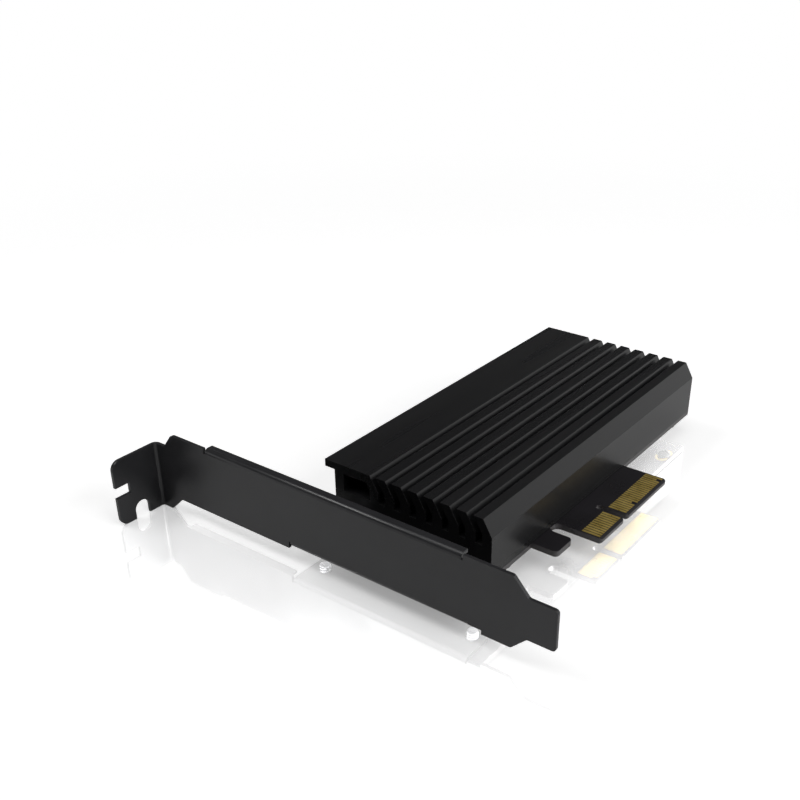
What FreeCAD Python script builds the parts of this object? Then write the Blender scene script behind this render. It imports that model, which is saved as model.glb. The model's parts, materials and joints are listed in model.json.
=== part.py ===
import FreeCAD, Part
import os
import re
import Sketcher

# An adapter card for one solid-state drive: a folded full-height bracket, a card with a
# four-lane edge connector, a drive in a right-angle socket and a finned heatsink over it.
# X runs along the card from the bracket's outer face, Y across it towards the bracket's tab
# and Z up from the component side of the card. Y = 0 is the drive's centre line.
# Lengths are millimetres.

V = FreeCAD.Vector

SIZES = [
    # Bracket: one folded sheet
    ("sheet_gauge", 0.86, "thickness of the bracket's sheet"),
    ("bend_inside", 0.4, "inside radius of every fold"),
    ("bracket_height", 120.02, "from the tab's outer face to the tongue's end"),
    ("tab_face", 69.8, "tab's outer face from the drive's centre line"),
    ("strip_width", 18.42, "width of the strip that closes the slot"),
    ("strip_drop", 2.9, "strip's lower edge below the component side"),
    ("shoulder_place", 61.3, "where the strip's lower edge starts to step down to the tab"),
    ("shoulder_top", 62.45, "where its upper edge starts to"),
    ("shoulder_corner", 1.5, "radius of that upper corner"),
    ("neck_place", 65.6, "where the step ends"),
    ("tab_width", 18.42, "width of the screw tab"),
    ("tab_drop", 6.95, "tab's lower edge below the component side"),
    ("tab_reach", 13.9, "tab's free edge from the strip's outer face"),
    ("tab_bend_inside", 0.8, "inside radius of the tab's fold"),
    ("tab_corner", 2.5, "radius of the tab's two free corners"),
    ("screw_slot_width", 4.42, "open slot for the chassis screw"),
    ("screw_slot_place", 6.75, "slot's centre from the strip's outer face"),
    ("screw_slot_depth", 4.55, "slot's depth from the tab's lower edge"),
    ("guide_notch_width", 2.95, "notch in the tab's free edge"),
    ("guide_notch_depth", 4.3, "depth of that notch"),
    ("guide_notch_low", 1.25, "lower side of that notch above the component side"),
    ("lip_depth", 2.6, "stiffening lips, from the strip's outer face"),
    ("top_lip_left", 50.2, "top lip's end towards the tab"),
    ("top_lip_right", 26.6, "top lip's end towards the tongue"),
    ("low_lip_left", 60.4, "lower lip's end towards the tab"),
    ("low_lip_right", 24.1, "lower lip's end beside the card"),
    ("relief_width", 0.5, "slit beside the top fold"),
    ("flange_relief_width", 0.4, "slit beside the flange's fold"),
    ("relief_depth", 0.15, "how far a slit passes the fold"),
    ("gap_left", 23.56, "left end of the gap that the card's edge stands in"),
    ("gap_right", 32.06, "right end of that gap"),
    ("gap_drop", 1.8, "strip's edge in that gap below the component side"),
    ("flange_reach", 11.5, "screw flange under the card, from the strip's outer face"),
    ("flange_left_margin", 0.46, "flange's left end inside that gap"),
    ("flange_right_margin", 3.96, "flange's right end inside that gap"),
    ("flange_screw_place", 7.3, "flange screws from the strip's outer face"),
    ("left_screw", 19.1, "left flange screw from the centre line"),
    ("right_screw", 25.0, "right flange screw from the centre line"),
    ("foot_corner", 39.5, "where the strip starts to taper to the tongue"),
    ("tongue_start", 43.35, "where the taper ends"),
    ("tongue_width", 10.35, "width of the tongue"),
    ("tongue_low", 0.93, "tongue's lower edge above the component side"),
    ("outline_corner", 0.9, "radius of the strip's and tongue's corners"),
    # Card
    ("board_thickness", 1.57, "thickness of the card"),
    ("board_setback", 0.45, "card's edge behind the strip"),
    ("board_end", 121.1, "card's far edge from the bracket's outer face"),
    ("board_left", 23.0, "card's left edge from the centre line"),
    ("board_right", 24.35, "card's right edge from the centre line"),
    ("board_wing_end", 13.5, "end of the wide part at the bracket"),
    ("board_wing", 31.4, "right edge of that wide part and of the hook"),
    ("hook_start", 32.6, "near side of the retention hook"),
    ("hook_notch", 3.8, "width of the notch between hook and edge connector"),
    ("hook_corner", 1.2, "radius of the hook's corners"),
    ("finger_start", 43.75, "near side of the edge connector"),
    ("finger_edge", 37.12, "edge connector's edge from the centre line"),
    ("short_finger_length", 11.65, "length of the edge connector before its key"),
    ("key_width", 1.9, "width of the key slot"),
    ("long_finger_length", 21.65, "length of the edge connector after its key"),
    ("key_depth", 8.4, "depth of the key slot"),
    ("finger_corner", 0.8, "radius of the edge connector's corners"),
    ("bevel_run", 0.7, "lead-in bevel along the card's plane"),
    ("bevel_rise", 0.35, "lead-in bevel through the card"),
    ("board_corner", 0.8, "radius of the card's far corners"),
    ("contact_spacing", 1.0, "pitch of the edge contacts"),
    ("contact_width", 0.7, "width of an edge contact"),
    ("contact_length", 4.9, "length of an edge contact"),
    ("contact_margin", 0.15, "edge contact's end behind the bevel"),
    ("short_contact_cut", 1.2, "how much shorter a presence contact is"),
    ("short_count", 11, "contacts before the key"),
    ("long_count", 21, "contacts after the key"),
    ("plating", 0.05, "height of bare plated copper over the card"),
    ("field_start", 21.35, "near end of the bare copper field"),
    ("field_margin", 2.9, "between the field and the socket's solder feet"),
    ("field_width", 20.4, "width of the field"),
    # Heatsink and its four screws
    ("slot_place", 23.9, "near pair of card slots from the bracket"),
    ("slot_end_margin", 9.3, "far pair from the card's far edge"),
    ("slot_left_margin", 2.4, "left slots from the card's left edge"),
    ("slot_right_margin", 2.35, "right slots from the card's right edge"),
    ("slot_length", 5.4, "length of a slot"),
    ("slot_width", 2.4, "width of a slot"),
    ("land_margin", 0.6, "plated land round a slot"),
    ("sink_start", 14.8, "heatsink's near end from the bracket"),
    ("sink_end_margin", 1.4, "heatsink's far end from the card's far edge"),
    ("sink_height", 14.85, "height of the extrusion over its feet"),
    ("sink_right", 24.65, "right wall from the centre line"),
    ("sink_left", 21.1, "left wall from the centre line"),
    ("eave_edge", 24.05, "edge of the plate that overhangs the left wall"),
    ("eave_thickness", 1.95, "thickness of that plate's edge"),
    ("lip_edge", 23.8, "outer face of the locating lip"),
    ("lip_drop", 0.95, "locating lip below the feet"),
    ("lip_slope_top", 3.0, "where the lip's slope leaves the wall"),
    ("lip_slope_low", 1.3, "where the slope meets the lip"),
    ("lip_clearance", 0.12, "between the lip and the card's edge"),
    ("bay_half", 12.45, "half width of the drive bay"),
    ("bay_height", 5.5, "bay's ceiling above the feet"),
    ("step_half", 15.87, "half width between the feet"),
    ("step_height", 3.0, "height of the step beside the bay"),
    ("fin_count", 7, "grooves between the fins"),
    ("fin_spacing", 4.62, "pitch of the grooves"),
    ("groove_width", 1.95, "width of a groove"),
    ("groove_first", 7.6, "left side of the first groove from the centre line"),
    ("groove_floor", 7.9, "groove's floor above the feet"),
    ("fin_bend", 10.65, "height where the fins start to lean"),
    ("fin_lean", 2.45, "how far a fin leans at its top"),
    ("duct_left", 18.3, "left side of the duct from the centre line"),
    ("duct_right", 10.2, "right side of the duct"),
    ("duct_top", 12.5, "duct's ceiling above the feet"),
    ("recess_margin", 0.8, "milled recess round the outer row of capacitors"),
    ("recess_clearance", 0.35, "that recess over the capacitors"),
    ("thread_gap", 0.05, "between a screw and its hole, on the radius"),
    ("fine_radius", 1.0, "shank of the heatsink's screws"),
    ("fine_length", 3.5, "their length under the head"),
    ("fine_head_radius", 1.9, "their head"),
    ("fine_head_height", 1.3, "height of their head"),
    ("tapped_depth", 2.15, "depth of the tapped holes in the feet"),
    ("coarse_radius", 1.5, "shank of the bracket's screws"),
    ("coarse_length", 4.0, "their length under the head"),
    ("coarse_head_radius", 2.8, "their head"),
    ("coarse_head_height", 2.0, "height of their head"),
    # Drive, its pads and its screw
    ("drive_start", 18.8, "drive's near end from the bracket"),
    ("drive_length", 80.0, "length of the drive"),
    ("drive_width", 22.0, "width of the drive"),
    ("drive_gauge", 0.8, "thickness of the drive's board"),
    ("drive_lift", 1.5, "drive's underside above the card"),
    ("drive_notch", 1.75, "radius of the half-round screw notch"),
    ("tongue_edge_width", 19.85, "width of the drive's edge connector"),
    ("tongue_edge_length", 4.0, "length of the drive's edge connector"),
    ("drive_key_place", 6.125, "drive's key slot from the centre line"),
    ("drive_key_width", 1.2, "width of the drive's key slot"),
    ("drive_key_depth", 3.5, "depth of the drive's key slot"),
    ("pin_spacing", 0.5, "pitch of the drive's contacts"),
    ("pin_first", 9.25, "first contact from the centre line"),
    ("pin_width", 0.32, "width of a drive contact"),
    ("pin_length", 2.2, "length of a drive contact"),
    ("pin_margin", 0.3, "drive contact's end behind the drive's edge"),
    ("pin_plating", 0.03, "height of the drive's contacts"),
    ("long_pins", 29, "contacts before the drive's key"),
    ("upper_short_pins", 5, "contacts after the key, upper side"),
    ("lower_short_pins", 4, "contacts after the key, lower side"),
    ("package_start", 3.7, "first memory package from the drive's end"),
    ("package_length", 15.8, "length of the first memory package"),
    ("package_width", 18.0, "width of the memory packages"),
    ("package_height", 1.4, "height of the memory packages"),
    ("package_right", 7.7, "right side of the packages from the centre line"),
    ("far_package_start", 60.9, "second memory package from the drive's end"),
    ("far_package_margin", 5.5, "second memory package from the drive's far edge"),
    ("controller_start", 44.4, "controller from the drive's end"),
    ("controller_length", 14.0, "length of the controller"),
    ("controller_width", 14.4, "width of the controller"),
    ("controller_right", 4.6, "right side of the controller"),
    ("controller_height", 1.2, "height of the controller"),
    ("buffer_start", 21.4, "buffer memory from the drive's end"),
    ("buffer_length", 7.5, "length of the buffer memory"),
    ("buffer_width", 13.0, "width of the buffer memory"),
    ("buffer_right", 6.9, "right side of the buffer memory"),
    ("buffer_height", 1.0, "height of the buffer memory"),
    ("choke_start", 31.0, "first choke from the drive's end"),
    ("choke_side", 2.8, "side of a choke"),
    ("choke_height", 1.2, "height of a choke"),
    ("choke_spacing", 4.4, "pitch of the chokes"),
    ("choke_place", 4.4, "chokes' right side from the centre line"),
    ("chip_start", 22.0, "first small capacitor from the drive's end"),
    ("chip_length", 1.0, "length of a small capacitor"),
    ("chip_width", 0.5, "width of a small capacitor"),
    ("chip_cap", 0.25, "length of its end cap"),
    ("chip_spacing", 2.6, "pitch of the small capacitors"),
    ("chip_count", 8, "small capacitors in the row"),
    ("chip_place", 9.6, "row of small capacitors from the centre line"),
    ("standoff_radius", 2.4, "drive's standoff"),
    ("standoff_pilot", 1.65, "standoff's pilot in the drive's notch"),
    ("standoff_stub", 1.5, "standoff's stub in the card"),
    ("standoff_stub_length", 1.3, "length of the stub"),
    ("drive_screw_length", 3.0, "drive's screw under its head"),
    ("drive_screw_head", 2.25, "radius of the drive screw's head"),
    ("drive_screw_head_height", 0.75, "height of the drive screw's head"),
    ("upper_pad_start", 21.6, "upper pad's near end from the bracket"),
    ("upper_pad_lap", 1.7, "how far the upper pad laps over the socket"),
    ("lower_pad_start", 21.9, "lower pad's near end from the bracket"),
    ("lower_pad_margin", 0.1, "between the lower pad and the socket's solder feet"),
    ("pad_width", 18.4, "width of both pads"),
    # Socket
    ("socket_grip", 4.5, "how far the drive reaches into the socket"),
    ("socket_depth", 8.6, "depth of the socket"),
    ("socket_height", 3.2, "height of the socket"),
    ("socket_half", 11.0, "half width of the socket"),
    ("mouth_gap", 0.1, "between the drive and the socket's mouth"),
    ("spring_gauge", 0.15, "thickness of a contact spring"),
    ("spring_width", 0.24, "width of a contact spring"),
    ("spring_gap", 0.02, "between a spring and the drive's contact"),
    ("spring_crest", 3.3, "where the springs press, behind the socket's front"),
    ("spring_foot", 0.7, "solder foot outside the socket"),
    ("cavity_depth", 4.4, "depth of the lower spring cavity"),
    ("cavity_margin", 0.35, "cavity beyond its outer springs"),
    ("upper_cavity_rise", 0.55, "upper spring cavity above the mouth"),
    ("anchor_length", 2.6, "solder anchors along the card"),
    ("anchor_reach", 1.3, "solder anchors beside the socket"),
    ("anchor_gauge", 0.25, "thickness of an anchor"),
    ("anchor_height", 1.6, "height of an anchor"),
    ("anchor_place", 3.6, "anchors behind the socket's front"),
    # Coupling capacitors on the card
    ("cap_length", 2.0, "length of a coupling capacitor"),
    ("cap_width", 1.25, "width of a coupling capacitor"),
    ("cap_height", 0.85, "height of a coupling capacitor"),
    ("cap_end", 0.4, "length of its end cap"),
    ("cap_proud", 0.04, "end cap over the ceramic"),
    ("cap_count", 5, "capacitors in a row"),
    ("near_row_start", 85.0, "first capacitor of the inner row"),
    ("near_row_spacing", 2.44, "pitch of the inner row"),
    ("near_row_place", 13.3, "inner row from the centre line"),
    ("far_row_start", 91.1, "first capacitor of the outer row"),
    ("far_row_spacing", 2.54, "pitch of the outer row"),
    ("far_row_place", 18.45, "outer row from the centre line"),
]

NAMES = [name for name, amount, meaning in SIZES]

doc = FreeCAD.newDocument("AdapterCard")
sheet = doc.addObject("Spreadsheet::Sheet", "Sizes")
for row, (name, amount, meaning) in enumerate(SIZES, 1):
    sheet.set(f"A{row}", name)
    sheet.set(f"B{row}", str(amount))
    sheet.set(f"C{row}", meaning)
    sheet.setAlias(f"B{row}", name)
doc.recompute()


def bound(expression):
    """The expression with each size's name pointing into the sheet."""
    return re.sub(r"[a-z_]+", lambda word: "Sizes." + word.group() if word.group() in NAMES else word.group(), expression)


def number(expression):
    """The expression's value now."""
    return float(sheet.evalExpression(bound(expression)))


def origin_part(body, role):
    """One of the body's own origin planes or axes."""
    return [part for part in body.Origin.OriginFeatures if part.Role == role][0]


def new_body(label, x="0", y="0", z="0"):
    """An empty body whose origin is placed by three expressions."""
    body = doc.addObject("PartDesign::Body", label)
    body.Label = label
    for axis, place in zip("xyz", (x, y, z)):
        body.setExpression(f"Placement.Base.{axis}", bound(place))
    return body


def new_sketch(body, name, role, height):
    """An empty sketch on an origin plane, raised along the plane's normal."""
    sketch = body.newObject("Sketcher::SketchObject", name)
    sketch.AttachmentSupport = [(origin_part(body, role), "")]
    sketch.MapMode = "FlatFace"
    sketch.setExpression("AttachmentOffset.Base.z", bound(height))
    return sketch


def dimension(sketch, kind, element, point, expression):
    """Holds one coordinate of a point to an expression, measured from the sketch's origin."""
    place = sketch.addConstraint(Sketcher.Constraint(kind, -1, 1, element, point, number(expression)))
    sketch.setExpression(f"Constraints[{place}]", bound(expression))


def add_loop(sketch, corners):
    """Adds one closed loop of straight edges through corners given as pairs of expressions."""
    points = [V(number(across), number(up), 0) for across, up in corners]
    first = sketch.GeometryCount
    for start, end in zip(points, points[1:] + points[:1]):
        sketch.addGeometry(Part.LineSegment(start, end), False)
    for edge in range(len(points)):
        after = (edge + 1) % len(points)
        sketch.addConstraint(Sketcher.Constraint("Coincident", first + edge, 2, first + after, 1))
    for edge, (across, up) in enumerate(corners, first):
        dimension(sketch, "DistanceX", edge, 1, across)
        dimension(sketch, "DistanceY", edge, 1, up)


def outline(body, name, role, *loops, height="0"):
    """A sketch of one or more closed loops."""
    sketch = new_sketch(body, name, role, height)
    for corners in loops:
        add_loop(sketch, corners)
    return sketch


def oblong(left, right, low, high):
    """The corners of a rectangle between four expressions."""
    return [(left, low), (right, low), (right, high), (left, high)]


def circles(body, name, role, centres, radius, height="0"):
    """A sketch of equal circles about centres given as pairs of expressions."""
    sketch = new_sketch(body, name, role, height)
    for element, (across, up) in enumerate(centres):
        circle = Part.Circle(V(number(across), number(up), 0), V(0, 0, 1), number(radius))
        sketch.addGeometry(circle, False)
        dimension(sketch, "DistanceX", element, 3, across)
        dimension(sketch, "DistanceY", element, 3, up)
        place = sketch.addConstraint(Sketcher.Constraint("Radius", element, number(radius)))
        sketch.setExpression(f"Constraints[{place}]", bound(radius))
    return sketch


def pad(body, name, sketch, length, backwards=False):
    """Adds the sketch's area, extended along its normal or against it."""
    feature = body.newObject("PartDesign::Pad", name)
    feature.Profile = sketch
    feature.setExpression("Length", bound(length))
    feature.Reversed = backwards
    return feature


def pocket(body, name, sketch, depth, forwards=False):
    """Cuts the sketch's area away, against its normal or along it."""
    doc.recompute()
    before = body.Shape.Volume
    feature = body.newObject("PartDesign::Pocket", name)
    feature.Profile = sketch
    feature.setExpression("Length", bound(depth))
    feature.Reversed = forwards
    doc.recompute()
    if not body.Shape.Volume < before:
        raise RuntimeError(f"{name} cuts nothing from {body.Label}")
    return feature


def repeat(body, name, originals, role, pitch, count, backwards=False):
    """Repeats features along an origin axis."""
    pattern = body.newObject("PartDesign::LinearPattern", name)
    pattern.Originals = originals
    pattern.Direction = (origin_part(body, role), [""])
    pattern.Reversed = backwards
    pattern.Mode = "Spacing"
    pattern.setExpression("Offset", bound(pitch))
    pattern.setExpression("Occurrences", bound(count))
    body.Tip = pattern
    return pattern


def edges_along(shape, axis, places, span=None):
    """Names of the straight edges along an axis that pass through places in the other two."""
    run = "XYZ".index(axis)
    others = [other for other in range(3) if other != run]
    wanted = [(number(first), number(second)) for first, second in places]
    names = []
    for count, edge in enumerate(shape.Edges, 1):
        middle = edge.CenterOfMass
        if edge.Curve.TypeId != "Part::GeomLine" or abs(edge.tangentAt(edge.FirstParameter)[run]) < 0.999:
            continue
        if span and not number(span[0]) <= middle[run] <= number(span[1]):
            continue
        near = [abs(middle[others[0]] - a) < 0.001 and abs(middle[others[1]] - b) < 0.001 for a, b in wanted]
        if any(near):
            names.append(f"Edge{count}")
    return names


def round_edges(body, name, axis, places, radius, span=None):
    """Rounds straight edges that run along an axis."""
    doc.recompute()
    base = body.Tip
    names = edges_along(base.Shape, axis, places, span)
    if len(names) < len(places):
        raise RuntimeError(f"{name} finds {len(names)} of {len(places)} edges on {body.Label}")
    feature = body.newObject("PartDesign::Fillet", name)
    feature.Base = (base, names)
    feature.setExpression("Radius", bound(radius))
    return feature


def bevel_rim(body, name, height, bevel, spread):
    """Bevels the circular rim of one radius at one height."""
    doc.recompute()
    base = body.Tip
    names = []
    for count, edge in enumerate(base.Shape.Edges, 1):
        if edge.Curve.TypeId != "Part::GeomCircle":
            continue
        level = abs(edge.Curve.Center.z - number(height)) < 0.001
        if level and abs(edge.Curve.Radius - number(spread)) < 0.001:
            names.append(f"Edge{count}")
    feature = body.newObject("PartDesign::Chamfer", name)
    feature.Base = (base, names)
    feature.setExpression("Size", bound(bevel))
    return feature


def box(label, size, place):
    """A plain block: its three lengths and its lowest corner as expressions."""
    block = doc.addObject("Part::Box", label)
    block.Label = label
    for side, length in zip(("Length", "Width", "Height"), size):
        block.setExpression(side, bound(length))
    for axis, amount in zip("xyz", place):
        block.setExpression(f"Placement.Base.{axis}", bound(amount))
    return block


# Heights and places that several pieces share
FLANGE_TOP = "-board_thickness"
FLANGE_LOW = f"({FLANGE_TOP} - sheet_gauge)"
FLANGE_LEFT = "(gap_left - flange_left_margin)"
FLANGE_RIGHT = "(flange_right_margin - gap_right)"
STRIP_TOP = "(strip_width - strip_drop)"
TAB_TOP = "(tab_width - tab_drop)"
TAB_BACK = "(tab_face - sheet_gauge)"
TONGUE_END = "(tab_face - bracket_height)"
BEND_OUTSIDE = "(bend_inside + sheet_gauge)"
BOARD_NEAR = "(sheet_gauge + board_setback)"
HOOK_END = "(finger_start - hook_notch)"
KEY_START = "(finger_start + short_finger_length)"
KEY_END = f"({KEY_START} + key_width)"
FINGER_END = f"({KEY_END} + long_finger_length)"
DRIVE_TOP = "(drive_lift + drive_gauge)"
DRIVE_END = "(drive_start + drive_length)"
SOCKET_FRONT = f"({DRIVE_END} - socket_grip)"
SOLDER_FEET = f"({SOCKET_FRONT} - spring_foot)"
SLOT_SPACING = "(board_end - slot_end_margin - slot_place)"
SLOT_LEFT = "(board_left - slot_left_margin)"
SLOT_RIGHT = "(board_right - slot_right_margin)"
SINK_LENGTH = "(board_end - sink_end_margin - sink_start)"
CEILING = "(plating + bay_height)"


def make_bracket():
    """The strip, its step to the tab, the taper to the tongue, then the folds."""
    body = new_body("bracket")
    strip = outline(body, "strip_outline", "YZ_Plane", [
        ("neck_place", "-tab_drop"),
        ("neck_place", TAB_TOP),
        ("shoulder_top", STRIP_TOP),
        ("-foot_corner", STRIP_TOP),
        ("-tongue_start", "tongue_low + tongue_width"),
        (TONGUE_END, "tongue_low + tongue_width"),
        (TONGUE_END, "tongue_low"),
        ("-tongue_start", "tongue_low"),
        ("-foot_corner", "-strip_drop"),
        ("-gap_right", "-strip_drop"),
        ("-gap_right", "-gap_drop"),
        ("gap_left", "-gap_drop"),
        ("gap_left", "-strip_drop"),
        ("shoulder_place", "-strip_drop"),
    ])
    pad(body, "strip", strip, "sheet_gauge")
    angle = outline(body, "tab_section", "XY_Plane", [
        ("0", "neck_place"),
        ("0", TAB_BACK),
        ("-tab_reach", TAB_BACK),
        ("-tab_reach", "tab_face"),
        ("sheet_gauge", "tab_face"),
        ("sheet_gauge", "neck_place"),
    ], height="-tab_drop")
    pad(body, "tab", angle, "tab_width")
    round_edges(body, "tab_fold_inside", "Z", [("0", TAB_BACK)], "tab_bend_inside")
    round_edges(body, "tab_fold_outside", "Z", [("sheet_gauge", "tab_face")], "tab_bend_inside + sheet_gauge")
    round_edges(body, "tab_corners", "Y", [("-tab_reach", "-tab_drop"), ("-tab_reach", TAB_TOP)], "tab_corner")

    reach = "(relief_width + sheet_gauge)"
    notch = outline(body, "guide_notch_outline", "XZ_Plane", oblong(
        f"-(tab_reach + {reach})", "guide_notch_depth - tab_reach",
        "guide_notch_low", "guide_notch_low + guide_notch_width"), height="-tab_face")
    pocket(body, "guide_notch", notch, "sheet_gauge", forwards=True)
    centre = "(screw_slot_depth - tab_drop - screw_slot_width / 2)"
    mouth = outline(body, "screw_slot_outline", "XZ_Plane", oblong(
        "-screw_slot_place - screw_slot_width / 2", "screw_slot_width / 2 - screw_slot_place",
        f"-tab_drop - {reach}", centre), height="-tab_face")
    pocket(body, "screw_slot", mouth, "sheet_gauge", forwards=True)
    end = circles(body, "screw_slot_end_outline", "XZ_Plane", [("-screw_slot_place", centre)],
                  "screw_slot_width / 2", height="-tab_face")
    pocket(body, "screw_slot_end", end, "sheet_gauge", forwards=True)

    lip_low = f"({STRIP_TOP} - sheet_gauge)"
    top = outline(body, "top_lip_outline", "YZ_Plane",
                  oblong("-top_lip_right", "top_lip_left", lip_low, STRIP_TOP))
    pad(body, "top_lip", top, "lip_depth")
    low = outline(body, "low_lip_outline", "YZ_Plane",
                  oblong("low_lip_right", "low_lip_left", "-strip_drop", "sheet_gauge - strip_drop"))
    pad(body, "low_lip", low, "lip_depth")
    flange = outline(body, "flange_outline", "YZ_Plane", oblong(FLANGE_RIGHT, FLANGE_LEFT, FLANGE_LOW, FLANGE_TOP))
    pad(body, "flange", flange, "flange_reach")

    slit = f"({BEND_OUTSIDE} + relief_depth)"
    reliefs = [
        oblong("top_lip_left", "top_lip_left + relief_width", f"{STRIP_TOP} - {slit}", f"{STRIP_TOP} + {slit}"),
        oblong("-top_lip_right - relief_width", "-top_lip_right", f"{STRIP_TOP} - {slit}", f"{STRIP_TOP} + {slit}"),
    ]
    for low, high in ((FLANGE_LEFT, f"{FLANGE_LEFT} + flange_relief_width"),
                      (f"{FLANGE_RIGHT} - flange_relief_width", FLANGE_RIGHT)):
        reliefs.append(oblong(low, high, f"{FLANGE_LOW} - {slit}", f"{FLANGE_LOW} + {slit}"))
    slits = outline(body, "relief_outline", "YZ_Plane", *reliefs)
    pocket(body, "reliefs", slits, "sheet_gauge", forwards=True)

    lips = ("-top_lip_right", "top_lip_left")
    round_edges(body, "top_fold_outside", "Y", [("0", STRIP_TOP)], BEND_OUTSIDE, span=lips)
    round_edges(body, "top_fold_inside", "Y", [("sheet_gauge", lip_low)], "bend_inside", span=lips)
    ends = ("-gap_right", "gap_left")
    round_edges(body, "flange_fold_outside", "Y", [("0", FLANGE_LOW)], BEND_OUTSIDE, span=ends)
    round_edges(body, "flange_fold_inside", "Y", [("sheet_gauge", FLANGE_TOP)], "bend_inside", span=ends)
    round_edges(body, "flange_corners", "Z", [("flange_reach", FLANGE_LEFT), ("flange_reach", FLANGE_RIGHT)],
                "outline_corner")
    holes = circles(body, "flange_hole_outline", "XY_Plane",
                    [("flange_screw_place", "-right_screw"), ("flange_screw_place", "left_screw")],
                    "coarse_radius + thread_gap", height=FLANGE_TOP)
    pocket(body, "flange_holes", holes, "sheet_gauge")
    round_edges(body, "outline_rounding", "X", [
        ("-foot_corner", STRIP_TOP),
        ("-tongue_start", "tongue_low + tongue_width"),
        (TONGUE_END, "tongue_low + tongue_width"),
        (TONGUE_END, "tongue_low"),
        ("-tongue_start", "tongue_low"),
        ("-foot_corner", "-strip_drop"),
    ], "outline_corner")
    round_edges(body, "shoulder_rounding", "X", [("shoulder_top", STRIP_TOP)], "shoulder_corner")
    return body


def make_board():
    """The card: its outline with hook, edge connector and key, then slots and holes."""
    body = new_body("adapter_board")
    hook_round = "(hook_notch / 2)"
    key_round = "(key_width / 2)"
    key_floor = "(key_depth - finger_edge)"
    edge = outline(body, "board_outline", "XY_Plane", [
        (BOARD_NEAR, "board_left"),
        (BOARD_NEAR, "-board_wing"),
        ("board_wing_end", "-board_wing"),
        ("board_wing_end", "-board_right"),
        ("hook_start", "-board_right"),
        ("hook_start", "-board_wing"),
        (HOOK_END, "-board_wing"),
        (HOOK_END, f"-board_right - {hook_round}"),
        ("finger_start", f"-board_right - {hook_round}"),
        ("finger_start", "-finger_edge"),
        (KEY_START, "-finger_edge"),
        (KEY_START, f"{key_floor} - {key_round}"),
        (KEY_END, f"{key_floor} - {key_round}"),
        (KEY_END, "-finger_edge"),
        (FINGER_END, "-finger_edge"),
        (FINGER_END, "-board_right"),
        ("board_end", "-board_right"),
        ("board_end", "board_left"),
    ])
    pad(body, "board", edge, "board_thickness", backwards=True)
    ends = circles(body, "hook_notch_outline", "XY_Plane",
                   [(f"{HOOK_END} + {hook_round}", f"-board_right - {hook_round}")], hook_round)
    pocket(body, "hook_notch_end", ends, "board_thickness")
    key = circles(body, "key_end_outline", "XY_Plane",
                  [(f"{KEY_START} + {key_round}", f"{key_floor} - {key_round}")], key_round)
    pocket(body, "key_end", key, "board_thickness")
    round_edges(body, "hook_corners", "Z",
                [("hook_start", "-board_wing"), (HOOK_END, "-board_wing")], "hook_corner")
    round_edges(body, "finger_corners", "Z", [
        (across, "-finger_edge") for across in ("finger_start", KEY_START, KEY_END, FINGER_END)], "finger_corner")
    round_edges(body, "board_corners", "Z", [
        ("board_end", "-board_right"), ("board_end", "board_left"), ("board_wing_end", "-board_wing")],
        "board_corner")
    past = "(finger_edge + bevel_run)"
    bevels = outline(
        body, "bevel_outline", "YZ_Plane",
        [("bevel_run - finger_edge", "0"), (f"-{past}", "-2 * bevel_rise"), (f"-{past}", "bevel_rise"),
         ("bevel_run - finger_edge", "bevel_rise")],
        [("bevel_run - finger_edge", "-board_thickness"), (f"-{past}", "2 * bevel_rise - board_thickness"),
         (f"-{past}", "-board_thickness - bevel_rise"), ("bevel_run - finger_edge", "-board_thickness - bevel_rise")],
    )
    pocket(body, "bevels", bevels, "board_end", forwards=True)
    rows = [(along, across) for along in ("slot_place", f"slot_place + {SLOT_SPACING}")
            for across in (SLOT_LEFT, f"-{SLOT_RIGHT}")]
    slots = outline(body, "slot_outline", "XY_Plane", *[
        oblong(f"{along} - (slot_length - slot_width) / 2", f"{along} + (slot_length - slot_width) / 2",
               f"{across} - slot_width / 2", f"{across} + slot_width / 2") for along, across in rows])
    pocket(body, "slots", slots, "board_thickness")
    for side in "-+":
        slot_ends = circles(body, "slot_end_outline", "XY_Plane", [
            (f"{along} {side} (slot_length - slot_width) / 2", across) for along, across in rows], "slot_width / 2")
        pocket(body, "slot_ends", slot_ends, "board_thickness")
    holes = circles(body, "flange_hole_outline", "XY_Plane",
                    [("flange_screw_place", "-right_screw"), ("flange_screw_place", "left_screw")],
                    "coarse_radius + 2 * thread_gap")
    pocket(body, "flange_holes", holes, "board_thickness")
    hole = circles(body, "standoff_hole_outline", "XY_Plane", [("drive_start", "0")], "standoff_stub + thread_gap")
    pocket(body, "standoff_hole", hole, "board_thickness")
    return body


def make_edge_contacts(label, height, low, first_short):
    """Plated contacts along the edge connector; some are short so that they meet last."""
    body = new_body(label, z=low)
    margin = "((short_finger_length - (short_count - 1) * contact_spacing - contact_width) / 2)"
    tip = "(bevel_run + contact_margin - finger_edge)"
    for group, start, count in (("short", "finger_start", "short_count"), ("long", KEY_END, "long_count")):
        left = f"({start} + {margin})"
        first = outline(body, f"{group}_contact_outline", "XY_Plane",
                        oblong(left, f"{left} + contact_width", tip, f"{tip} + contact_length"))
        contact = pad(body, f"{group}_contact", first, height)
        repeat(body, f"{group}_contacts", [contact], "X_Axis", "contact_spacing", count)
    cuts = []
    for start, place in first_short:
        left = f"({start} + {margin} + {place} * contact_spacing - (contact_spacing - contact_width) / 2)"
        cuts.append(oblong(left, f"{left} + contact_spacing", "-finger_edge", f"{tip} + short_contact_cut"))
    shortened = outline(body, "presence_outline", "XY_Plane", *cuts)
    pocket(body, "presence_cut", shortened, height, forwards=True)
    return body


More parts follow.
